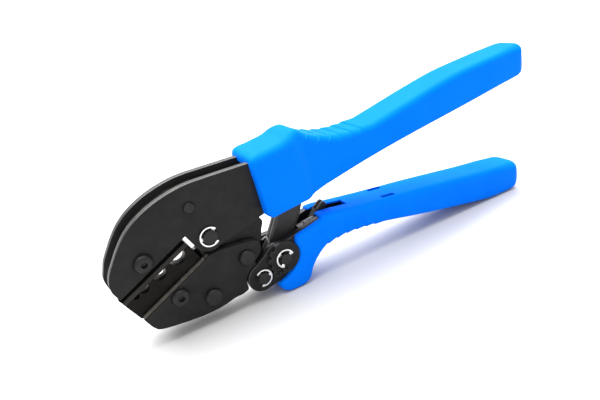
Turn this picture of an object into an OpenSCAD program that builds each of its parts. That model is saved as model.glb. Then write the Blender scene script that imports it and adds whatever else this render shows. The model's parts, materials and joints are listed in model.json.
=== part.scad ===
// Ratcheting frame crimping tool with a swinging lower jaw, exchangeable dies
// and two moulded grips. Millimetres. X runs from the nose to the grip ends,
// +Z is up as the tool stands on its heel, Y is across the plates.
// The origin is on the floor, midway along the tool and between the plates.

/* [Plates] */
// thickness of each pressed side plate
plate_t = 3; // [2:0.5:4]
// clear gap between the two side plates
gap_w = 9; // [7:0.5:11]
// distance along X from the jaw pivot datum to the origin
mid_x = 40.6; // [30:0.1:50]

/* [Pivots] */
// radius of the main jaw pivot pin
main_r = 3; // [2:0.25:4]
// radius of the jaw to handle pin
link_r = 2.75; // [2:0.25:4]
// radius of the adjusting pin
adjust_r = 2.5; // [2:0.25:4]
// radius of the hidden arm pin
arm_pin_r = 3; // [2:0.25:4]
// running clearance on the radius of each pivot
run = 0.05; // [0.02:0.01:0.1]
// extra radius of the arm's lower bore, where the closed linkage is opened
open_gap = 1.5; // [1:0.1:2]
// how far the pins stand out of the plates
pin_out = 2; // [1:0.25:3]

/* [Dies] */
// slope of the die parting line
die_a = 27; // [20:1:35]
// height of the upper die above the parting line
upper_die_h = 13.8; // [10:0.2:16]
// depth of the lower die below the parting line
lower_die_h = 17.4; // [12:0.2:20]
// length of the dies from the nose end to the stop
die_len = 33.2; // [26:0.2:36]
// width of the largest crimping nest
nest_w = 7.3; // [5:0.1:9]
// extra depth of the nests' rear halves
nest_drop = 2.4; // [0:0.1:4]

/* [Adjuster] */
// radius of the notched adjusting wheel
wheel_r = 7.5; // [6:0.25:9]
// thickness of the adjusting wheel
wheel_t = 2; // [1:0.25:3]

/* [Ratchet] */
// radius over the ratchet teeth
tooth_r = 13; // [11:0.25:14]
// height of the ratchet teeth
tooth_h = 1.3; // [0.8:0.1:2]
// number of ratchet teeth
teeth = 11; // [8:1:16]

/* [Grips] */
// half width of both grips
grip_half = 10; // [8:0.25:12]
// half width of the shroud on the upper grip
shroud_half = 11.75; // [10:0.25:13]
// rounding of the grip edges
grip_edge = 3; // [1:0.25:4]

/* [Hidden] */
$fn = 48;
gap_half = gap_w / 2;
out_half = gap_half + plate_t;
core_half = gap_half - 0.1;
arm_half = 2.5;
pawl_half = 2;
leaf_gap = 0.6;
pin_end = out_half + pin_out;
clip_t = 0.9;
wheel_gap = 0.3;
lug_w = 1.4;
ring_w = 0.65;
clip_lift = 0.1;
clip_edge = 1.35;
bite = 0.4;
main_p = [-29.9, 40];
link_p = [-11.4, 11.7];
adjust_p = [-0.4, 17.8];
arm_p = [16.3, 48.6];
pawl_p = [18, 23];
die_p = [-41.5, 36.4];
die_end = 3.3;
front_nose = [[-69.2, 27.9], [-70.2, 30], [-71, 32], [-71.3, 34.2]];
rear_nose = [[-71.2, 27.6], [-71.9, 30.4], [-72.1, 33]];
frame_rivet_p = [-34.9, 54.6];
upper_screw_p = [-57.2, 39.2];
lower_screw_p = [-47.6, 18.9];
jaw_rivets_p = [[-34.4, 12.6], [-16.5, 24.2]];
lock_p = adjust_p + 7.3 * [cos(235), sin(235)];

// one coordinate of a smooth curve between b and c, with neighbours a and d
function blend(a, b, c, d, t) =
  0.5 * (2 * b + (c - a) * t + (2 * a - 5 * b + 4 * c - d) * t * t
    + (3 * b - a - 3 * c + d) * t * t * t);

// a smooth open curve through the points p
function smooth(p, n = 4) = concat(
  [for (i = [0:len(p) - 2], k = [0:n - 1])
    blend(p[max(i - 1, 0)], p[i], p[i + 1], p[min(i + 2, len(p) - 1)], k / n)],
  [p[len(p) - 1]]);

// points on an arc of radius r about c
function arc(c, r, from, to, n = 12) =
  [for (k = [0:n]) c + r * [cos(from + (to - from) * k / n), sin(from + (to - from) * k / n)]];

module slab(low, high)
  translate([-mid_x, high, 0])
    rotate([90, 0, 0])
      linear_extrude(height = high - low)
        children();

module at(p)
  translate(p)
    children();

module rod(p, r, low, high)
  slab(low, high)
    at(p)
      circle(r);

// a slab whose long edges are rounded in steps
module soft_slab(half, edge)
  for (a = [0:30:90])
    slab(-half + edge * (1 - sin(a)), half - edge * (1 - sin(a)))
      offset(delta = -edge * (1 - cos(a)))
        children();

// the two plate planes, one side at a time: side is -1 in front, 1 behind
module plate(side)
  slab(side < 0 ? -out_half : gap_half, side < 0 ? -gap_half : out_half)
    children();

// turned shape about the Y axis at p, its foot at y0 and growing outwards
module turned(p, side, y0)
  translate([p[0] - mid_x, side * y0, p[1]])
    rotate([side < 0 ? 90 : -90, 0, 0])
      rotate_extrude()
        children();

// ---------- outlines ----------

// the nose is the lowest few points of the plate; the rear plate's is fuller
module frame_outline(nose)
  polygon(concat(
    smooth(concat(nose, [[-71, 36.4], [-69.8, 39.6], [-67.2, 43.9],
      [-64.3, 48.2], [-60.6, 52.6], [-55.5, 56.7], [-48.8, 60.2], [-42.2, 62.4],
      [-35.5, 63.8], [-30, 64.2]])),
    [[10, 64.2], [14, 65.5], [19, 64.5]],
    smooth([[24, 62.2], [34, 60.4], [46, 60], [60, 62.3], [85, 68], [110, 72.8], [135, 75]]),
    [[138, 72.5], [136, 66.8]],
    [[110, 62.2], [85, 58.6], [60, 54.6], [44, 51.6], [30, 48.8], [20, 45], [14, 42.5], [-5, 40.7]],
    [[-26.8, 34.5]],
    arc(main_p, 6.5, -62, -140),
    [die_place([5.3, -1.6]), die_place([5.3, 5.4]), die_place([4.1, 5.4])]));

module jaw_outline()
  polygon(concat(
    smooth([[-34.2, 30.7], [-32.2, 31.9], [-27.5, 32.5], [-22, 32.1], [-15.2, 31.5],
      [-11.6, 30.8], [-9.7, 29.3], [-9.3, 26.9], [-10.2, 24], [-13.4, 20.6]]),
    arc(link_p, 7.6, 100, 176),
    smooth([[-18.7, 10.4], [-19.1, 8.9], [-21.8, 7.9], [-26, 7.6], [-30, 6.6], [-34.3, 6],
      [-42, 6], [-50.9, 6.9], [-58.2, 8.2], [-60.6, 10], [-62.2, 12.8], [-63.5, 15.6]])));

module core_outline()
  polygon(concat(
    arc(main_p, 6.3, 70, 215),
    [[-33.5, 29], [-29, 19.5], [-39, 12.2], [-36, 8.8], [-29, 9.6], [-20, 11.4]],
    arc(link_p, 5.9, 190, 395),
    [[-6.9, 19.5], [-8.6, 25], [-7.4, 28.9]],
    smooth([[-6.9, 30.4], [-6.2, 33.2], [-5.3, 35.4], [-5.5, 37.2], [-7.2, 39.6]])));

module handle_outline()
  polygon(concat(
    arc(link_p, 6.9, 292, 100, 20),
    smooth([[-12, 19.2], [-9, 21.3], [-6.2, 23.8]]),
    smooth([[-5.3, 24.4], [-2.6, 24.7], [3, 24.8], [8, 26], [12.8, 27], [18, 28.3], [20.4, 28.8],
      [24, 29]]),
    [[38, 27.5], [58, 24.6], [80, 21.2], [105, 17.4], [130, 14.2], [134, 9.5], [131, 4.6]],
    [[105, 7.6], [80, 12], [58, 16.6], [38, 19.8], [24, 19.2], [16, 15.4], [12, 11.4], [8.6, 6.6],
      [4, 3.4], [-1, 3.6]],
    [[-4.3, 6]]));

module upper_grip_outline()
  polygon(concat(
    smooth([[-3.4, 39.4], [-1.5, 38.6], [3, 39.2], [12.5, 40.2], [18, 40.7], [22, 42], [26, 43.4],
      [30, 44.3], [50, 48.4], [75, 52.6], [110, 57.7], [145, 63.4]]),
    smooth([[149.2, 64.2], [151.9, 65.3], [153.2, 67.6], [153.3, 72], [152.9, 76.4],
      [151.6, 78.9], [148.9, 79.8]]),
    smooth([[140, 79.2], [120, 76.9], [104, 74.9], [84.6, 71], [65.9, 66.7], [54.9, 64.2],
      [43.9, 63.5], [32.8, 64.4], [22.4, 67.6], [17, 71], [14, 72]]),
    smooth([[7.5, 69.2], [0, 67.9], [-4, 67.3], [-6.6, 66.2], [-7.4, 64]]),
    [[-6.8, 58.3], [-5, 40.8]]));

module shroud_outline()
  polygon([[-5, 40.8], [-3.4, 39.2], [-1.5, 38.3], [3, 38.9], [12.5, 40], [18, 40.6], [17, 57.5],
    [15.6, 65], [13.5, 71.8], [7.5, 69.2], [0, 67.9], [-4, 67.3], [-6.6, 66.2], [-7.4, 64],
    [-6.8, 58.3]]);

module lower_grip_outline()
  polygon(concat(
    smooth([[-4.3, 5.9], [-0.8, 7.7], [2.6, 9.9]]),
    arc(adjust_p, wheel_r + wheel_gap, -44, 32),
    smooth([[6.6, 24.2], [7.2, 25.5], [8.6, 26.1], [12.8, 27], [18, 28.3], [20.4, 28.8]]),
    smooth([[20.7, 29.8], [25, 29.9], [38, 28.1], [58, 25.6], [80, 23.2], [100, 20.7], [120, 18.2],
      [140, 16.2]]),
    smooth([[146.6, 15.4], [149.8, 14.3], [151.5, 12], [151.6, 8.4], [150.8, 5], [149.2, 2.2],
      [145.5, 0.5]]),
    smooth([[140, 0], [130, 0.2], [120, 1.4], [100, 4.9], [80, 8.6], [60, 12.7], [46, 15.3],
      [33, 16.3], [23, 15.1], [18, 12.8], [15.5, 10.5], [12.9, 6.9], [11, 2.9], [8.1, 0.6],
      [3, 0], [-0.8, 0.4], [-3.4, 2.1], [-5.1, 4.4]])));

module arm_outline()
  difference() {
    polygon(concat(
      arc(arm_p, 6.5, -67, 186),
      arc(adjust_p, 5.9, 126, 326),
      [for (k = [0:teeth - 1], tip = [0, 1])
        adjust_p + (tooth_r - (1 - tip) * tooth_h)
          * [cos(-22 + 5.6 * k + tip), sin(-22 + 5.6 * k + tip)]],
      [[10.4, 26.4], [13.7, 31.4], [15.7, 36.8]]));
    at(adjust_p)
      circle(adjust_r + open_gap);
    at(arm_p)
      circle(arm_pin_r + run);
  }

module pawl_outline()
  polygon(concat(
    [[12.6, 24.7], [12.7, 23.6], [14.4, 21.6]],
    arc(pawl_p, 3, 215, 330),
    smooth([[22.4, 24.2], [24.6, 27], [26.4, 29], [27.8, 30.6]]),
    arc([26.7, 31.6], 1.4, -30, 110, 6),
    smooth([[25.1, 32.2], [23, 30.4], [20.8, 27.8], [19.4, 26.2], [18.2, 25.6], [15.4, 25.4]])));

// ---------- dies ----------

// a place given along the parting line and square to it
function die_place(q) =
  die_p + [q[0] * cos(die_a) - q[1] * sin(die_a), q[0] * sin(die_a) + q[1] * cos(die_a)];

module die_block(low, high)
  slab(-gap_half, gap_half)
    at(die_p)
      rotate(die_a)
        difference() {
          translate([die_end - die_len, low])
            square([die_len, high - low]);
          children();
        }

// round nests that shrink towards the nose
module nests(deeper)
  for (k = [0:3]) {
    w = nest_w - 1.5 * k;
    x = -2.9 - 9.3 * k + 0.6 * k * (k - 1) + (k == 3 ? 2.7 : 0);
    translate([x, 0])
      circle(w / 2);
    if (deeper > 0)
      translate([x - w / 2, -deeper])
        square([w, deeper]);
    if (deeper > 0)
      translate([x, -deeper])
        circle(w / 2);
  }

// ---------- fasteners ----------

// spring clip: a thin open ring whose three lugs reach into the pin's groove
module clip(p, r, side, y0, open_a, open_w) {
  low = side < 0 ? -y0 - clip_t : y0;
  reach = 4 * r;
  slab(low, low + clip_t)
    at(p)
      rotate(open_a) {
        difference() {
          circle(r + clip_edge);
          circle(r + clip_edge - ring_w);
          polygon([[0, 0], reach * [cos(open_w), -sin(open_w)], [reach, -reach],
            [reach, reach], reach * [cos(open_w), sin(open_w)]]);
        }
        for (a = [open_w + 14, 180, 346 - open_w])
          rotate(a)
            translate([r - bite, -lug_w / 2])
              square([clip_edge + bite - 0.4, lug_w]);
      }
}

// headless pin with a groove for a clip near each end
module grooved_pin(p, r, groove_front, groove_back) {
  difference() {
    union() {
      rod(p, r, -groove_front - clip_t - 0.9, groove_back + clip_t + 0.9);
    }
    for (low = [-groove_front - clip_t, groove_back])
      slab(low, low + clip_t)
        at(p)
          difference() {
            circle(r + 1);
            circle(r - bite);
          }
  }
}

// rivet with a low head on both faces
module rivet(p, shank, head_r, head_h) {
  rod(p, shank, -out_half - 0.1, out_half + 0.1);
  for (side = [-1, 1])
    turned(p, side, out_half)
      polygon([[0, 0], [head_r, 0], [head_r, head_h * 0.55], [head_r - head_h * 0.4, head_h], [0, head_h]]);
}

module button_screw(p, head_r, head_h, shank, socket_r) {
  difference() {
    union() {
      rod(p, shank, -out_half - 0.1, out_half);
      turned(p, -1, out_half)
        polygon(concat([[0, 0], [head_r, 0], [head_r, head_h * 0.3]],
          [for (a = [15:15:75]) [head_r - 1.6 + 1.6 * cos(a), head_h * 0.3 + head_h * 0.7 * sin(a)]],
          [[head_r - 1.6, head_h], [0, head_h]]));
    }
    slab(-out_half - head_h - 1, -out_half - head_h + 1.5)
      at(p)
        circle(socket_r, $fn = 6);
  }
}

// ---------- fixed frame ----------

module frame_plate(side)
  color("#2b2b2c")
    plate(side)
      difference() {
        frame_outline(side < 0 ? front_nose : rear_nose);
        at(main_p)
          circle(main_r);
        at(arm_p)
          circle(arm_pin_r);
        at(frame_rivet_p)
          circle(1.9);
        at(upper_screw_p)
          circle(2);
      }

module frame_plate_front() frame_plate(-1);
module frame_plate_back() frame_plate(1);

module frame_spacer()
  color("#2b2b2c")
    slab(-gap_half, gap_half)
      difference() {
        polygon([die_place([-16, upper_die_h]), [-57.6, 52], [-50, 56.6], [-40, 60.4], [-29, 61.6],
          [-29, 51.5], die_place([3, upper_die_h])]);
        at(frame_rivet_p)
          circle(1.9);
      }

module frame_rivet()
  color("#3a3a3b")
    rivet(frame_rivet_p, 1.9, 2.25, 0.9);

module upper_die()
  color("#3b3733")
    difference() {
      die_block(0, upper_die_h)
        translate([die_end - die_len, upper_die_h])
          rotate(-45)
            square([14, 14], center = true);
      rod(upper_screw_p, 2, -gap_half - 1, gap_half + 1);
    }

module upper_die_screw()
  color("#262627")
    button_screw(upper_screw_p, 3.7, 2.2, 2, 1.45);

module main_pivot_pin()
  color("#303031")
    grooved_pin(main_p, main_r, out_half + clip_lift, out_half + clip_lift);

module main_clip_front()
  color("#d8d8da")
    clip(main_p, main_r, -1, out_half + clip_lift, 0, 42);

module main_clip_back()
  color("#d8d8da")
    clip(main_p, main_r, 1, out_half + clip_lift, 0, 42);

module arm_pivot_pin()
  color("#303031")
    rod(arm_p, arm_pin_r, -out_half, out_half);

module upper_grip()
  color("#0080ff")
    difference() {
      union() {
        soft_slab(grip_half, grip_edge)
          upper_grip_outline();
        soft_slab(shroud_half, grip_edge)
          shroud_outline();
      }
      for (side = [-1, 1])
        plate(side)
          frame_outline(front_nose);
      slab(-gap_half, gap_half)
        polygon([[-9, 36], [-9, 62], [14, 62], [25, 57], [27, 50], [26, 36]]);
    }

// ---------- swinging jaw ----------

module jaw_plate(side)
  color("#2b2b2c")
    plate(side)
      difference() {
        jaw_outline();
        for (p = jaw_rivets_p)
          at(p)
            circle(2.5);
        at(lower_screw_p)
          circle(2);
      }

module jaw_plate_front() jaw_plate(-1);
module jaw_plate_back() jaw_plate(1);

module jaw_core()
  color("#2f2f30")
    slab(-core_half, core_half)
      difference() {
        core_outline();
        at(main_p)
          circle(main_r + run);
        at(link_p)
          circle(link_r);
        for (p = jaw_rivets_p)
          at(p)
            circle(2.5);
      }

module jaw_rivet_low()
  color("#333334")
    rivet(jaw_rivets_p[0], 2.5, 3.7, 1.3);

module jaw_rivet_high()
  color("#333334")
    rivet(jaw_rivets_p[1], 2.5, 3.5, 1.5);

module lower_die()
  color("#3b3733")
    difference() {
      die_block(-lower_die_h, 0) {
        nests(0);
        translate([die_end - die_len, -lower_die_h])
          rotate(45)
            square([12, 20], center = true);
      }
      slab(0, gap_half + 1)
        at(die_p)
          rotate(die_a)
            nests(nest_drop);
      rod(lower_screw_p, 2, -gap_half - 1, gap_half + 1);
      rod(jaw_rivets_p[0], 4.2, -gap_half - 1, gap_half + 1);
    }

module lower_die_screw()
  color("#262627")
    button_screw(lower_screw_p, 3.7, 2.2, 2, 1.45);

module jaw_link_pin()
  color("#303031")
    grooved_pin(link_p, link_r, out_half + clip_lift, out_half + clip_lift);

module link_clip_front()
  color("#d8d8da")
    clip(link_p, link_r, -1, out_half + clip_lift, 192, 55);

module link_clip_back()
  color("#d8d8da")
    clip(link_p, link_r, 1, out_half + clip_lift, 192, 55);

// ---------- moving handle ----------

module handle_plate(side)
  color("#2b2b2c")
    plate(side)
      difference() {
        handle_outline();
        at(link_p)
          circle(link_r + run);
        at(adjust_p)
          circle(adjust_r);
        at(pawl_p)
          circle(1.5);
        at(lock_p)
          circle(1.25);
      }

module handle_plate_front() handle_plate(-1);
module handle_plate_back() handle_plate(1);

module lower_grip()
  color("#0080ff")
    difference() {
      soft_slab(grip_half, grip_edge)
        lower_grip_outline();
      for (side = [-1, 1])
        plate(side)
          handle_outline();
      slab(-gap_half, gap_half) {
        at(adjust_p)
          circle(14.4);
        at(link_p)
          circle(6.8);
        polygon([[6, 14], [6, 34], [20.5, 34], [20.5, 29.2], [25, 29.2], [40, 26.9], [40, 21.2],
          [24, 20.2]]);
      }
      slab(-out_half, out_half)
        polygon([[5.5, 24], [5.5, 34], [20.55, 34], [20.55, 28], [18, 27.8], [12.8, 26.5],
          [8, 25.3]]);
      slab(-3, 3)
        polygon([[20, 25], [20, 36], [38.8, 36], [38.8, 25]]);
      for (side = [-1, 1])
        slab(side * 5.6 - 1.3, side * 5.6 + 1.3)
          polygon([[56.8, 23.4], [56.8, 30], [64.6, 30], [64.6, 22.4]]);
    }

module adjuster_wheel()
  color("#303031")
    slab(-out_half - wheel_t, -out_half)
      difference() {
        at(adjust_p)
          circle(wheel_r);
        at(adjust_p)
          circle(adjust_r);
        for (a = [128, 161, 191])
          at(adjust_p + wheel_r * [cos(a), sin(a)])
            circle(1.2);
        at(lock_p)
          circle(2.5);
        at([-0.3, 12.4])
          circle(0.6);
      }

module adjuster_pin()
  color("#303031")
    grooved_pin(adjust_p, adjust_r, out_half + wheel_t, out_half + clip_lift);

module adjuster_clip_front()
  color("#d8d8da")
    clip(adjust_p, adjust_r + 0.5, -1, out_half + wheel_t, -46, 62);

module adjuster_clip_back()
  color("#d8d8da")
    clip(adjust_p, adjust_r + 0.5, 1, out_half + clip_lift, -46, 62);

module adjuster_lock_screw()
  color("#262627")
    difference() {
      union() {
        rod(lock_p, 1.25, -out_half - 0.1, -gap_half);
        turned(lock_p, -1, out_half)
          polygon([[0, 0], [2.25, 0], [2.25, 1.3], [1.7, 1.8], [0, 1.8]]);
      }
      for (a = [20, 110])
        slab(-out_half - 2, -out_half - 1)
          at(lock_p)
            rotate(a)
              square([2.8, 0.7], center = true);
    }

module return_spring()
  color("#b9b9bb") {
    turned(adjust_p, -1, arm_half + 0.3)
      for (k = [0:1])
        translate([3.6, 0.45 + 0.5 * k])
          circle(0.4);
    slab(-arm_half - 1.3, -arm_half - 0.4)
      polygon([[-3.7, 20.6], [-4.9, 27.3], [-6.8, 26.7], [-7, 27.4], [-4.3, 28.3],
        [-2.7, 20.9]]);
  }

module pawl_pin()
  color("#303031")
    rod(pawl_p, 1.5, -out_half, out_half);

// a close coil lying along the handle beside the pawl
module pawl_spring()
  color("#8d8d8f")
    translate([14 - mid_x, -3.3, 27.1])
      rotate([0, 90 - 8, 0])
        rotate_extrude()
          for (k = [0:7]) {
            translate([0.7, 0.35 + 0.75 * k])
              circle(0.42);
            translate([0, 0.75 * k])
              square([0.7, 0.75]);
          }

// ---------- toggle arm and pawl ----------

module toggle_arm(side)
  color("#2d2d2e")
    slab(side < 0 ? -arm_half : 0.1, side < 0 ? -0.1 : arm_half)
      arm_outline();

module toggle_arm_front() toggle_arm(-1);
module toggle_arm_back() toggle_arm(1);

// its release tab is parted into two leaves
module ratchet_pawl()
  color("#2a2a2b")
    difference() {
      slab(-pawl_half, pawl_half)
        difference() {
          pawl_outline();
          at(pawl_p)
            circle(1.5 + run);
        }
      slab(-leaf_gap, leaf_gap)
        polygon([[21, 31.4], [25.6, 29.2], [30, 31], [30, 36], [21, 36]]);
    }

frame_plate_front();
frame_plate_back();
frame_spacer();
frame_rivet();
upper_die();
upper_die_screw();
upper_grip();
main_pivot_pin();
main_clip_front();
main_clip_back();
arm_pivot_pin();
jaw_plate_front();
jaw_plate_back();
jaw_core();
jaw_rivet_low();
jaw_rivet_high();
lower_die();
lower_die_screw();
jaw_link_pin();
link_clip_front();
link_clip_back();
handle_plate_front();
handle_plate_back();
lower_grip();
adjuster_wheel();
adjuster_pin();
adjuster_clip_front();
adjuster_clip_back();
adjuster_lock_screw();
return_spring();
pawl_pin();
pawl_spring();
toggle_arm_front();
toggle_arm_back();
ratchet_pawl();
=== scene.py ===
"""Looks of a ratcheting frame crimping tool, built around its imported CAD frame."""
import json
import math

import bmesh
import bpy
import numpy as np
from mathutils import Matrix, Vector
from mathutils.geometry import delaunay_2d_cdt


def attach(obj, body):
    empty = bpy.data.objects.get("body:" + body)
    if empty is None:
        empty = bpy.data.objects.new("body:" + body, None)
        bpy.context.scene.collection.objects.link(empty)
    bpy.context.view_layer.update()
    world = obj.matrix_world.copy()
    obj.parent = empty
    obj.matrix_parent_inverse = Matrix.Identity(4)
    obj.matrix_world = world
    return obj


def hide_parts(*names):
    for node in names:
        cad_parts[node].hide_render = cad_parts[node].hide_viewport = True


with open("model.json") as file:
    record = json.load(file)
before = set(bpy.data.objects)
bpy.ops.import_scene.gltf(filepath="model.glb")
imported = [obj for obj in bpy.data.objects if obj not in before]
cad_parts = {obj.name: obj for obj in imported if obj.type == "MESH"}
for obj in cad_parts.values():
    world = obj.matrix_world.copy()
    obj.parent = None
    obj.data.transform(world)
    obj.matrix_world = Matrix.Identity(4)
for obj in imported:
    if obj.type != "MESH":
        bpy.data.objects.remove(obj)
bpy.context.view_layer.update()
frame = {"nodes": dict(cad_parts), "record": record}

# Lengths are in millimetres and in the tool's own axes unless a comment says otherwise:
# x along the grips, y across the tool, z up from the floor.
MM = 0.001                  # metres
MID_X = 40.6                # the frame's origin lies at this x of the tool
GAP = 4.5                   # half gap between the side plates
OUT = 7.5                   # outer face of the side plates
PAST = 0.1                  # how far a cutter goes past the face it has to reach
ADJUST_P = (-0.4, 17.8)     # x and z of the adjuster pin
LINK_P = (-11.4, 11.7)      # x and z of the jaw's link pin
BODY_OF = {n: b for b, ns in frame["record"]["behaviour"]["bodies"].items() for n in ns}
SLOT_OF = {s["node"]: s["material_slot"] for s in frame["record"]["subparts"]}


# ---------------------------------------------------------------- materials

GRAIN_SCALE = 2600          # scale of the noise in the fine grain
GRAIN_DEPTH = 0.00004       # metres


def principled(name, color, rough, metallic=0.0, **sockets):
    """A plain material and its shader; sockets are further inputs, with _ for a space."""
    mat = bpy.data.materials.new(name)
    mat.use_nodes = True
    shader = mat.node_tree.nodes["Principled BSDF"]
    shader.inputs["Base Color"].default_value = (*color, 1)
    shader.inputs["Roughness"].default_value = rough
    shader.inputs["Metallic"].default_value = metallic
    for key, value in sockets.items():
        shader.inputs[key.replace("_", " ")].default_value = value
    return mat, shader


def noise(mat, scale, detail, stretch=(1, 1, 1)):
    """A noise texture fixed to the piece."""
    nodes, links = mat.node_tree.nodes, mat.node_tree.links
    coords = nodes.new("ShaderNodeTexCoord")
    mapping = nodes.new("ShaderNodeMapping")
    mapping.inputs["Scale"].default_value = stretch
    texture = nodes.new("ShaderNodeTexNoise")
    texture.inputs["Scale"].default_value = scale
    texture.inputs["Detail"].default_value = detail
    links.new(coords.outputs["Object"], mapping.inputs["Vector"])
    links.new(mapping.outputs["Vector"], texture.inputs["Vector"])
    return texture


def ramp_between(mat, source, low, high):
    """The source as a colour between low and high."""
    nodes, links = mat.node_tree.nodes, mat.node_tree.links
    ramp = nodes.new("ShaderNodeValToRGB")
    first, last = ramp.color_ramp.elements
    first.position = 0.35
    last.position = 0.65
    first.color = (*low, 1)
    last.color = (*high, 1)
    links.new(source.outputs["Fac"], ramp.inputs["Fac"])
    return ramp


def bump(mat, shader, source, strength, distance):
    """Roughens the shader's surface by the source; distance is in metres."""
    nodes, links = mat.node_tree.nodes, mat.node_tree.links
    node = nodes.new("ShaderNodeBump")
    node.inputs["Strength"].default_value = strength
    node.inputs["Distance"].default_value = distance
    links.new(source.outputs["Fac"], node.inputs["Height"])
    links.new(node.outputs["Normal"], shader.inputs["Normal"])


def surface(name, low, high, rough, metallic, scale, grain=0.15, stretch=(1, 1, 1), **sockets):
    """A material whose colour drifts between two close tones, with a fine grain."""
    mat, shader = principled(name, low, rough, metallic, **sockets)
    tone = ramp_between(mat, noise(mat, scale, 4, stretch), low, high)
    mat.node_tree.links.new(tone.outputs["Color"], shader.inputs["Base Color"])
    if grain:
        bump(mat, shader, noise(mat, GRAIN_SCALE, 2), grain, GRAIN_DEPTH)
    return mat


PLASTIC = surface("blue_plastic", (0.0005, 0.153, 0.82), (0.001, 0.163, 0.86), 0.40, 0, 60, 0.05,
                  Specular_IOR_Level=0.008)
BLACK = surface("black_coat", (0.006, 0.006, 0.006), (0.0095, 0.0095, 0.009), 0.48, 0, 220, 0.3,
                Specular_IOR_Level=0.18)
EDGE = surface("cut_edge", (0.014, 0.0135, 0.013), (0.026, 0.025, 0.024), 0.42, 0.1, 380, 0.3,
               (1, 0.2, 1), Specular_IOR_Level=0.3)
WORN = surface("worn_edge", (0.035, 0.033, 0.031), (0.075, 0.072, 0.067), 0.38, 0.3, 500, 0.1)
ARM = surface("arm_steel", (0.026, 0.025, 0.024), (0.034, 0.033, 0.031), 0.44, 0.1, 300, 0.2,
              Specular_IOR_Level=0.25)
OXIDE = surface("die_oxide", (0.012, 0.010, 0.008), (0.026, 0.021, 0.017), 0.36, 0.2, 160, 0.2,
                (1, 1, 3), Specular_IOR_Level=0.2)
# painted shade: a much darker copy of the die oxide for the lower die's shaded, recessed face
OXIDE_PAINTED_SHADE = surface("die_oxide_painted_shade", (0.0025, 0.0022, 0.0018), (0.006, 0.005, 0.0042), 0.36, 0.1,
                    160, 0.2, (1, 1, 3), Specular_IOR_Level=0.1)
# near-black painted shade: the dark line along the jaw plates' broken edges, and the upper die's top where
# the plates shade it
PAINTED_SHADE = surface("painted_shade", (0.0004, 0.0004, 0.0004), (0.0008, 0.0008, 0.0008), 0.9, 0, 200, 0.1,
                 Specular_IOR_Level=0.05)
# painted highlight: a lighter copy of the cut-edge colour for the jaw plates' top edges, as if lit from the
# front
PAINTED_LIGHT_EDGE = surface("edge_painted_light", (0.10, 0.092, 0.080), (0.15, 0.138, 0.12), 0.45, 0.1, 380, 0.3,
               (1, 0.2, 1), Specular_IOR_Level=0.2)
FASTENER = surface("fastener", (0.007, 0.007, 0.007), (0.011, 0.011, 0.0105), 0.40, 0, 300, 0.1,
                   Specular_IOR_Level=0.25)
BRIGHT = surface("bright_steel", (0.70, 0.70, 0.69), (0.80, 0.80, 0.79), 0.30, 1.0, 200, 0)
WIRE = surface("spring_wire", (0.32, 0.32, 0.32), (0.46, 0.46, 0.45), 0.35, 0.4, 200, 0)

# A metal piece's materials: flat faces, broken edges, cut sides and, on some, faces with painted light or
# shade.
FLAT, BROKEN, SIDE, PAINTED_LIGHTING = range(4)
LOOK = {"black_steel": (BLACK, WORN, EDGE),
        "dark_fastener": (FASTENER, FASTENER, FASTENER),
        "bright_clip": (BRIGHT, BRIGHT, BRIGHT),
        # jaw plates: broken edges in painted shade (a dark line), top edges in a painted highlight
        "jaw": (BLACK, PAINTED_SHADE, EDGE, PAINTED_LIGHT_EDGE),
        "core": (BLACK, BLACK, BLACK),
        "arm": (ARM, WORN, WORN),
        # upper die: its top, above DIE_SHADE, in painted shade
        "upper_die": (OXIDE, OXIDE, OXIDE, PAINTED_SHADE),
        # lower die: the die oxide in painted shade
        "lower_die": (OXIDE_PAINTED_SHADE, OXIDE_PAINTED_SHADE, OXIDE_PAINTED_SHADE)}


# ---------------------------------------------------------------- shared helpers

def place(p):
    """A point of the tool, in millimetres, as a point of the frame in metres."""
    return ((p[0] - MID_X) * MM, p[1] * MM, p[2] * MM)


def ease(low, high, value):
    """Goes smoothly from 0 at low to 1 at high."""
    t = min(max((value - low) / (high - low), 0), 1)
    return t * t * (3 - 2 * t)


def circle_points(c, r, count=48):
    """Points round a circle."""
    angles = [2 * math.pi * k / count for k in range(count)]
    return [(c[0] + r * math.cos(a), c[1] + r * math.sin(a)) for a in angles]


def arc(c, r, start, stop, count):
    """Points along an arc, from one angle in degrees to another."""
    angles = [math.radians(start + (stop - start) * k / count) for k in range(count + 1)]
    return [np.array((c[0] + r * math.cos(a), c[1] + r * math.sin(a))) for a in angles]


def curve(points, spacing=0.8):
    """A smooth open curve through the points, with a point about every spacing millimetres."""
    p = [np.array(q, float) for q in points]
    out = []
    for i in range(len(p) - 1):
        a, b, c, d = p[max(i - 1, 0)], p[i], p[i + 1], p[min(i + 2, len(p) - 1)]
        count = max(1, round(np.linalg.norm(c - b) / spacing))
        for t in np.arange(count) / count:
            out.append(0.5 * (2 * b + (c - a) * t + (2 * a - 5 * b + 4 * c - d) * t ** 2
                              + (3 * b - a - 3 * c + d) * t ** 3))
    return out + [p[-1]]


def distance_to(loop, pts):
    """Distance of each point to the closed outline."""
    best = np.full(len(pts), np.inf)
    for p0, p1 in zip(loop, np.roll(loop, -1, axis=0)):
        d = p1 - p0
        t = np.clip(((pts - p0) @ d) / (d @ d), 0, 1)
        best = np.minimum(best, np.linalg.norm(pts - (p0 + t[:, None] * d), axis=1))
    return best


def inside(loop, pts):
    """Whether each point lies inside the closed outline."""
    hit = np.zeros(len(pts), bool)
    x, z = pts[:, 0], pts[:, 1]
    for (x0, z0), (x1, z1) in zip(loop, np.roll(loop, -1, axis=0)):
        if z0 != z1:
            cross = (z0 > z) != (z1 > z)
            hit ^= cross & (x < (x1 - x0) * (z - z0) / (z1 - z0) + x0)
    return hit


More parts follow.
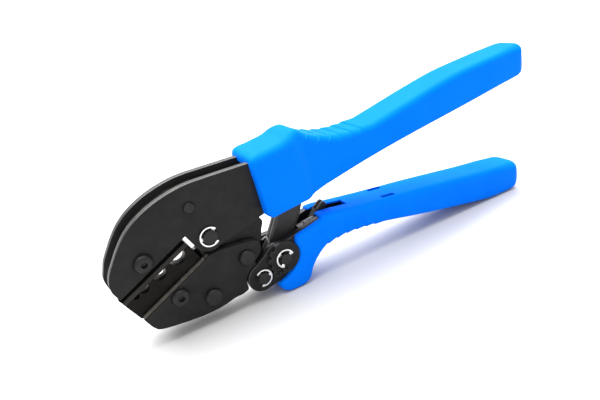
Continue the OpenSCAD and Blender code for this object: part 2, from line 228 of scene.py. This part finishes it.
def finished_mesh(bm, name):
    """The bmesh as a new mesh."""
    mesh = bpy.data.meshes.new(name)
    bm.to_mesh(mesh)
    bm.free()
    return mesh


def smooth_by_angle(mesh, degrees):
    """Smooth shading that stays sharp where faces meet at more than the angle."""
    mesh.shade_smooth()
    mesh.set_sharp_from_angle(angle=math.radians(degrees))


def add_piece(mesh, node):
    """Puts the mesh where the CAD node was, on the same body."""
    obj = bpy.data.objects.new(node + "_made", mesh)
    bpy.context.scene.collection.objects.link(obj)
    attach(obj, BODY_OF[node])
    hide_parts(node)


def prism(points, low, high):
    """A closed straight block over the outline's (x, z) points, from y = low to y = high."""
    bm = bmesh.new()
    a = [bm.verts.new(place((x, low, z))) for x, z in points]
    b = [bm.verts.new(place((x, high, z))) for x, z in points]
    bm.faces.new(a)
    bm.faces.new(b)
    for i in range(len(points)):
        j = (i + 1) % len(points)
        bm.faces.new([a[i], a[j], b[j], b[i]])
    bmesh.ops.recalc_face_normals(bm, faces=bm.faces)
    return finished_mesh(bm, "cutter")


def cut(mesh, cutters):
    """The mesh with each cutter taken out."""
    obj = bpy.data.objects.new("cutting", mesh)
    bpy.context.scene.collection.objects.link(obj)
    tools = []
    for cutter in cutters:
        tool = bpy.data.objects.new("tool", cutter)
        bpy.context.scene.collection.objects.link(tool)
        modifier = obj.modifiers.new("cut", "BOOLEAN")
        modifier.operation = "DIFFERENCE"
        modifier.solver = "EXACT"
        modifier.object = tool
        tools.append(tool)
    graph = bpy.context.evaluated_depsgraph_get()
    result = bpy.data.meshes.new_from_object(obj.evaluated_get(graph))
    for o in [obj, *tools]:
        bpy.data.objects.remove(o)
    return result


# ---------------------------------------------------------------- moulded grips

GRID = 1.6                  # spacing of a grip's mesh away from its outline
ROWS = 7                    # rows of mesh over its rounded edge, and strips round its rim


def spread_points(loop, edge):
    """Points inside the outline: rows over the rounded edge, and a grid beyond them."""
    ahead, behind = np.roll(loop, -1, axis=0), np.roll(loop, 1, axis=0)
    tangent = ahead - behind
    tangent /= np.linalg.norm(tangent, axis=1)[:, None]
    area = 0.5 * np.sum(loop[:, 0] * ahead[:, 1] - ahead[:, 0] * loop[:, 1])
    inward = np.stack([-tangent[:, 1], tangent[:, 0]], 1) * np.sign(area)
    reach = np.array([edge(x, z)[0] for x, z in loop])
    rows = []
    for k in range(1, ROWS + 1):
        depth = reach * (1 - math.cos(math.pi / 2 * k / ROWS))
        row = loop + inward * depth[:, None]
        keep = inside(loop, row) & (distance_to(loop, row) > 0.93 * depth)
        rows.append(row[keep])
    low, high = loop.min(0), loop.max(0)
    xs, zs = np.meshgrid(np.arange(low[0], high[0], GRID), np.arange(low[1], high[1], GRID))
    cells = np.stack([xs.ravel(), zs.ravel()], 1)
    cells = cells[inside(loop, cells)]
    cells = cells[distance_to(loop, cells) > max(reach) + 0.5 * GRID]
    return np.concatenate([*rows, cells])


def triangles(loop, more):
    """The outline's points and more points, and the triangles that fill the outline."""
    count = len(loop)
    edges = [(i, (i + 1) % count) for i in range(count)]
    points = [Vector(p) for p in np.concatenate([loop, more])]
    made, _, tris, _, _, _ = delaunay_2d_cdt(points, edges, [], 1, 1e-4)
    return np.array([tuple(p) for p in made]), tris


def half_thickness(dist, width, edge_size):
    """Half the body's thickness at a distance from the outline, over the rounded edge."""
    plane, across = edge_size
    across = min(across, 0.6 * width)
    t = min(dist / plane, 1)
    return width - across + across * math.sqrt(max(0, 1 - (1 - t) ** 2))


def moulded(name, loop, half, edge, rib):
    """A closed moulded body: an outline whose two sides swell to half(x, z) over a rounded edge.

    edge(x, z) gives the rounding's depth in the outline's plane and across it.
    rib(x, z, d) gives how far the skin stands proud at distance d from the outline.
    """
    loop = np.array(loop)
    pts, tris = triangles(loop, spread_points(loop, edge))
    depth = [half_thickness(d, half(x, z), edge(x, z))
             for d, (x, z) in zip(distance_to(loop, pts), pts)]
    bm = bmesh.new()
    verts = {}
    for side in (-1, 1):
        for i, (x, z) in enumerate(pts):
            verts[side, i] = bm.verts.new((x, side * depth[i], z))
    for tri in tris:
        for side in (-1, 1):
            bm.faces.new([verts[side, i] for i in tri])
    rim = []
    for p in loop:
        i = int(np.argmin(np.linalg.norm(pts - p, axis=1)))
        between = [bm.verts.new((pts[i][0], depth[i] * (2 * k / ROWS - 1), pts[i][1]))
                   for k in range(1, ROWS)]
        rim.append([verts[-1, i], *between, verts[1, i]])
    for a, b in zip(rim, rim[1:] + rim[:1]):
        for k in range(ROWS):
            bm.faces.new([a[k], a[k + 1], b[k + 1], b[k]])
    bmesh.ops.recalc_face_normals(bm, faces=bm.faces)
    bm.normal_update()
    dist = distance_to(loop, np.array([(v.co.x, v.co.z) for v in bm.verts]))
    moves = [v.normal * rib(v.co.x, v.co.z, d) for v, d in zip(bm.verts, dist)]
    for v, move in zip(bm.verts, moves):
        v.co = place(v.co + move)
    return finished_mesh(bm, name)


def grip_piece(mesh, node):
    """A grip in blue plastic."""
    mesh.materials.clear()
    mesh.materials.append(PLASTIC)
    smooth_by_angle(mesh, 38)
    add_piece(mesh, node)


RIBS = 6                    # on each grip
RIB_PITCH = 5.45
RIB_HEIGHT = 0.5
RIB_FADE = (1.4, 4.2)       # distances from the outline between which the ribs run out
TIP = (134, 152)            # x between which the rounding grows towards the tip
END_L = 5.5                 # how far from a grip's end its plan view starts to round
END_W = 5.5                 # half width that this rounding takes in
END_CAP = 0.985             # the part of the rounding that is used, short of its very end


def ribs(first, lean, x, d):
    """Shingle-like ribs: a rise at the left of each, sloping back to the skin."""
    u = (x - first + lean * d) / RIB_PITCH
    if not 0 <= u < RIBS:
        return 0
    return RIB_HEIGHT * (1 - (u % 1)) * (1 - ease(*RIB_FADE, d))


def end_round(x, end):
    """How much half width the rounding of a grip's end takes away at x."""
    u = min(max((x - end) / END_L + 1, 0), END_CAP)
    return END_W * (1 - math.sqrt(1 - u * u))


# ---------------------------------------------------------------- upper grip

UPPER_END = 153.3           # x of the grip's end
SHROUD_HALF = 11.7          # half width of the shroud, left of the fold
FOLD_Z = [41, 45, 57.5, 65, 72.2]
FOLD_X = [18.5, 18, 17, 15.6, 13]


def upper_half(x, z):
    """Half width: a wide shroud, a fold where it steps in, and the grip."""
    fold_x = float(np.interp(z, FOLD_Z, FOLD_X))
    return (SHROUD_HALF - 2.3 * ease(fold_x - 4, fold_x + 2, x)
            + 0.6 * ease(fold_x + 1, fold_x + 10, x) - end_round(x, UPPER_END))


def upper_edge(x, z):
    """The rounding: tighter below and at the front, crowned over the top of the tip."""
    tip = ease(*TIP, x)
    front = 1 - ease(-7, 0, x)
    below = 1 - ease(-4, 4, z - 54 - 0.12 * x)
    crown = tip * (1 - below)
    plane = 3.2 - 1.2 * below + 0.8 * crown - 1.6 * front * (1 - ease(60, 67, z))
    across = 3.4 + 2.4 * crown - 1.2 * tip * below + 0.6 * (1 - ease(10, 22, x)) - 1.4 * front
    return max(plane, 1.2), across


def upper_ribs(x, z, d):
    """Ribs along the top only."""
    return ribs(20.6, 0.85, x, d) if z > 58 else 0


# underside and tip, top of the grip, shroud, and front
upper_loop = (
    curve([(-3.4, 39.2), (-1.5, 38.35), (3, 38.9), (12.5, 40), (18, 40.65), (22, 42),
           (26, 43.4), (30, 44.3), (50, 48.4), (75, 52.6), (110, 57.7), (145, 63.2),
           (149.2, 64.2), (151.9, 65.3), (153.1, 67.6), (153.25, 72), (153.2, 76),
           (152.7, 78.5), (151.3, 79.65), (148.5, 79.72), (144.5, 79.3)])
    + curve([(140, 78.75), (120, 76.75), (104, 74.85), (84.6, 70.95), (65.9, 66.65),
             (54.9, 64.15)])[:-1]
    + curve([(54.9, 64.15), (43.9, 63.45), (32.8, 64.3), (22.4, 67.5), (19, 69.7), (16.4, 71.5),
             (14.4, 71.9), (12.2, 71.3), (7.5, 69.2), (0, 67.9), (-4, 67.3), (-5.9, 66.6),
             (-6.95, 65.6), (-7.4, 64)], 0.45)
    + curve([(-7.0, 58.6), (-6.75, 57.9), (-5, 40.9)], 1.2))
arm_hollow = [(-9, 36), (-9, 62.5), (14, 62.5), (25, 57), (27, 50), (26, 36)]

upper_mesh = moulded("upper_grip_made", upper_loop, upper_half, upper_edge, upper_ribs)
upper_mesh = cut(upper_mesh, [prism(arm_hollow, -GAP - PAST, GAP + PAST)])
grip_piece(upper_mesh, "upper_grip")


# ---------------------------------------------------------------- lower grip

LOWER_END = 151.8           # x of the grip's end
GRIP_HALF = 9.95            # half width of the grip
SLOT_Y = 5.6                # middle of each short slot
SLOT_HALF = 1.3             # half width of each


def lower_half(x, z):
    """Half width: the same everywhere but at the grip's end."""
    return GRIP_HALF - end_round(x, LOWER_END)


def lower_edge(x, z):
    """The rounding: tighter below and at the heel, crowned over the top of the tip."""
    tip = ease(*TIP, x)
    near = 1 - ease(5, 16, x)
    below = 1 - ease(-4, 4, z - 24 + 0.11 * (x - 20))
    heel = below * (1 - ease(16, 24, x))
    crown = tip * (1 - below)
    return (3.4 + 0.4 * near - 1.2 * below + 0.6 * crown - 1.1 * heel,
            3.4 - 0.4 * near - 1.5 * heel - 1.2 * tip * below + 2.2 * crown)


def lower_ribs(x, z, d):
    """Ribs along the underside only."""
    return ribs(22.6, 0.3, x, d) if z < 21 and x > 21 else 0


# front, round the adjuster, its back, top and tip and underside, waist, and heel
lower_loop = (
    curve([(-4.3, 5.9), (-0.8, 7.7), (2.6, 9.9)])
    + arc(ADJUST_P, 7.85, -44, 32, 14)
    + curve([(6.6, 24.2), (7.2, 25.5), (8.6, 26.1), (12.8, 27), (18, 28.3), (20.4, 28.8)])
    + curve([(20.7, 29.8), (25, 29.9), (38, 28.1), (58, 25.6), (80, 23.2), (100, 20.7),
             (120, 18.2), (140, 16.2), (147, 15.6), (150, 14.9), (151.3, 13.2), (151.6, 8.4),
             (150.8, 5), (149.2, 2.2), (145.5, 0.5), (140, 0.05), (130, 0.2), (120, 1.4),
             (100, 4.9), (80, 8.6), (60, 12.7)])[:-1]
    + curve([(60, 12.7), (46, 15.3), (33, 16.3), (23, 15.1), (18, 12.8)], 0.45)[:-1]
    + curve([(18, 12.8), (15.5, 10.5), (12.9, 6.9), (11, 2.9), (8.1, 0.6), (3, 0.05),
             (-0.8, 0.4), (-3.4, 2.1), (-5, 4.3)])[:-1])

# Room between the plates, over their shoulders, round the two pins, and for the pawl; then two short slots.
# The first, third and fourth end at slightly different y, so that their faces never coincide.
cutters = [
    prism([(6, 14), (6, 34), (20.5, 34), (20.5, 29.2), (25, 29.2), (40, 26.9), (40, 21.2),
           (24, 20.2)], -4.62, 4.62),
    prism([(5.5, 24), (5.5, 34), (20.55, 34), (20.55, 28), (18, 27.8), (12.8, 26.5), (8, 25.3)],
          -OUT - PAST, OUT + PAST),
    prism(circle_points(ADJUST_P, 14.4, 64), -4.61, 4.61),
    prism(circle_points(LINK_P, 6.8), -4.6, 4.6),
    prism([(20, 25), (20, 36), (38.8, 36), (38.8, 25)], -3, 3)]
for slot_y in (-SLOT_Y, SLOT_Y):
    cutters.append(prism([(56.8, 23), (56.8, 30), (64.6, 30), (64.6, 22)],
                         slot_y - SLOT_HALF, slot_y + SLOT_HALF))

lower_mesh = moulded("lower_grip_made", lower_loop, lower_half, lower_edge, lower_ribs)
lower_mesh = cut(lower_mesh, cutters)
grip_piece(lower_mesh, "lower_grip")


# ---------------------------------------------------------------- metal parts

WELD = 1e-6                                  # metres within which the CAD mesh's points are one
COPLANAR = math.radians(0.6)                 # faces within this angle are joined up
ACROSS_DIES = Vector((-0.454, 0, 0.891))     # upwards, square to the line where the dies meet
FACING = 0.985                               # a face that looks this much along it gets the painted highlight
DIE_SHADE = (-42.4, 0, 38.18)                # the upper die is in deep shade above this point


def gets_painted_lighting(face, look):
    """Whether it is a jaw plate's top edge, which gets a painted highlight, or the top of the upper die,
    which gets painted shade.
    """
    if look == "jaw":
        return face.normal.dot(ACROSS_DIES) > FACING
    if look == "upper_die":
        above = face.calc_center_median() - Vector(place(DIE_SHADE))
        return abs(face.normal.y) > 0.5 and above.dot(ACROSS_DIES) > 0
    return False


def metal_piece(node, width, flat_angle=28, look=None):
    """The CAD node with its flat faces joined up and its sharp edges broken.

    width is the broken edge's, and an edge is sharp beyond flat_angle degrees.
    """
    mesh = frame["nodes"][node].data.copy()
    mesh.name = node + "_made"
    bm = bmesh.new()
    bm.from_mesh(mesh)
    bmesh.ops.remove_doubles(bm, verts=bm.verts, dist=WELD)
    bmesh.ops.dissolve_limit(bm, angle_limit=COPLANAR, verts=bm.verts, edges=bm.edges)
    # the upper die is split where its painted shade begins
    if look == "upper_die":
        bmesh.ops.bisect_plane(bm, geom=[*bm.verts, *bm.edges, *bm.faces],
                               plane_co=place(DIE_SHADE), plane_no=ACROSS_DIES)
    for face in bm.faces:
        face.smooth = True
        face.material_index = FLAT if abs(face.normal.y) > 0.5 else SIDE
        if gets_painted_lighting(face, look):
            face.material_index = PAINTED_LIGHTING
    sharp = [e for e in bm.edges if len(e.link_faces) == 2
             and e.calc_face_angle(0) > math.radians(flat_angle)]
    bmesh.ops.bevel(bm, geom=sharp, offset=width * MM, offset_type="OFFSET", segments=2,
                    profile=0.5, affect="EDGES", clamp_overlap=True, material=BROKEN)
    # the materials come before to_mesh, because clearing them sets every face's index to 0
    mesh.materials.clear()
    for mat in LOOK[look or SLOT_OF[node]]:
        mesh.materials.append(mat)
    bm.to_mesh(mesh)
    bm.free()
    smooth_by_angle(mesh, 30)
    add_piece(mesh, node)


for node in ["frame_plate_front", "frame_plate_back", "handle_plate_front", "handle_plate_back"]:
    metal_piece(node, 0.28)
for node in ["jaw_plate_front", "jaw_plate_back"]:
    metal_piece(node, 0.36, look="jaw")
for node in ["jaw_core", "frame_spacer"]:
    metal_piece(node, 0.28, look="core")
metal_piece("ratchet_pawl", 0.25)
for node in ["toggle_arm_front", "toggle_arm_back"]:
    metal_piece(node, 0.3, look="arm")
for node in ["upper_die", "lower_die"]:
    metal_piece(node, 0.15, look=node)
for node in ["frame_rivet", "upper_die_screw", "main_pivot_pin", "arm_pivot_pin", "jaw_rivet_low",
             "jaw_rivet_high", "lower_die_screw", "jaw_link_pin", "adjuster_pin",
             "adjuster_lock_screw", "pawl_pin", "adjuster_wheel"]:
    metal_piece(node, 0.18, 35)
for node in ["main_clip_front", "main_clip_back", "link_clip_front", "link_clip_back",
             "adjuster_clip_front", "adjuster_clip_back"]:
    metal_piece(node, 0.2, 35)


# ---------------------------------------------------------------- springs

RETURN_R = 3.6              # radius of the return spring's coil, to the middle of the wire
RETURN_TURNS = 1.9
RETURN_FROM = 0.75          # radians at which the straight leg leaves the coil
RETURN_RISE = 0.286         # how far the coil moves outwards in half a turn
PAWL_R = 0.7                # radius of the pawl spring's coil, to the middle of the wire
PAWL_TURNS = 8
PAWL_STEPS = 16             # points in each of its turns
PAWL_LENGTH = 5.35
PAWL_TILT = math.radians(8)


def wire(path, radius, node, sides=10):
    """A round wire drawn along the path."""
    path = [Vector(place(p)) for p in path]
    bm = bmesh.new()
    rings = []
    side = Vector((0, 1, 0))
    for i, p in enumerate(path):
        along = (path[min(i + 1, len(path) - 1)] - path[max(i - 1, 0)]).normalized()
        side = (side - along * side.dot(along)).normalized()
        other = along.cross(side)
        rings.append([bm.verts.new(p + side * u + other * v)
                      for u, v in circle_points((0, 0), radius * MM, sides)])
    for a, b in zip(rings, rings[1:]):
        for k in range(sides):
            bm.faces.new([a[k], a[(k + 1) % sides], b[(k + 1) % sides], b[k]])
    bm.faces.new(rings[0])
    bm.faces.new(rings[-1])
    bmesh.ops.recalc_face_normals(bm, faces=bm.faces)
    mesh = finished_mesh(bm, node + "_made")
    mesh.materials.append(WIRE)
    smooth_by_angle(mesh, 50)
    add_piece(mesh, node)


def return_path():
    """A coil round the adjuster pin, then a leg that goes up from it and bends over."""
    angles = np.linspace(RETURN_FROM, RETURN_FROM + 2 * math.pi * RETURN_TURNS, 90)
    coil = [(ADJUST_P[0] + RETURN_R * math.cos(a), -2.95 - RETURN_RISE * a / math.pi,
             ADJUST_P[1] + RETURN_R * math.sin(a)) for a in angles[:0:-1]]
    leg = [(-3.4, 20.9), (-3.9, 24.5), (-4.4, 27.3), (-4.8, 27.9), (-5.4, 27.85), (-6.9, 27.2)]
    return coil + [(x, -3.35, z) for x, z in leg]


def pawl_path():
    """A close coil that lies along the handle beside the pawl."""
    path = []
    for k in range(PAWL_TURNS * PAWL_STEPS + 1):
        a = 2 * math.pi * k / PAWL_STEPS
        u = 0.35 + PAWL_LENGTH * k / (PAWL_TURNS * PAWL_STEPS)
        v = PAWL_R * math.cos(a)
        path.append((14 + u * math.cos(PAWL_TILT) - v * math.sin(PAWL_TILT),
                     -3.3 + PAWL_R * math.sin(a),
                     27.1 + u * math.sin(PAWL_TILT) + v * math.cos(PAWL_TILT)))
    return path


wire(return_path(), 0.38, "return_spring")
wire(pawl_path(), 0.34, "pawl_spring", 8)


# ---------------------------------------------------------------- stage

FLOOR_RADIUS = 3.3          # metres
FLOOR_Z = -0.00005          # metres, a little under the grip that stands on it


def add_staged(obj):
    """Adds an object that belongs to the picture and not to the tool."""
    bpy.context.scene.collection.objects.link(obj)


floor_mat, _ = principled("floor", (0.5, 0.5, 0.5), 0.95, Specular_IOR_Level=0)
disc = circle_points((0, 0), FLOOR_RADIUS, 96)
floor = bpy.data.meshes.new("floor")
floor.from_pydata([(x, y, FLOOR_Z) for x, y in disc], [], [range(len(disc))])
floor.materials.append(floor_mat)
add_staged(bpy.data.objects.new("floor", floor))

# one very large soft light, tilted a little from straight overhead
sun = bpy.data.lights.new("overhead", "SUN")
sun.energy = 8.8
sun.angle = math.radians(80)
lamp = bpy.data.objects.new("overhead", sun)
lamp.rotation_euler = (math.radians(-22), 0, 0)
add_staged(lamp)

world = bpy.data.worlds.new("studio")
world.use_nodes = True
background = world.node_tree.nodes["Background"]
background.inputs["Color"].default_value = (1, 1, 1, 1)
background.inputs["Strength"].default_value = 1.05
bpy.context.scene.world = world
bpy.context.scene.view_settings.view_transform = "Standard"


# ---------------------------------------------------------------- camera

# the camera's own axes in the frame, and where it stands in metres
right = Vector((0.85795, -0.49005, -0.15418))
up = Vector((0.32698, 0.28943, 0.89962))
back = right.cross(up)
camera = bpy.data.objects.new("camera", bpy.data.cameras.new("camera"))
camera.data.lens = 30
camera.data.sensor_width = 36
camera.data.clip_start = 0.005
camera.matrix_world = Matrix((right, up, back)).transposed().to_4x4()
camera.matrix_world.translation = Vector(((-73.445 - MID_X) * MM, -0.18615, 0.12946))
bpy.context.scene.collection.objects.link(camera)
bpy.context.scene.camera = camera
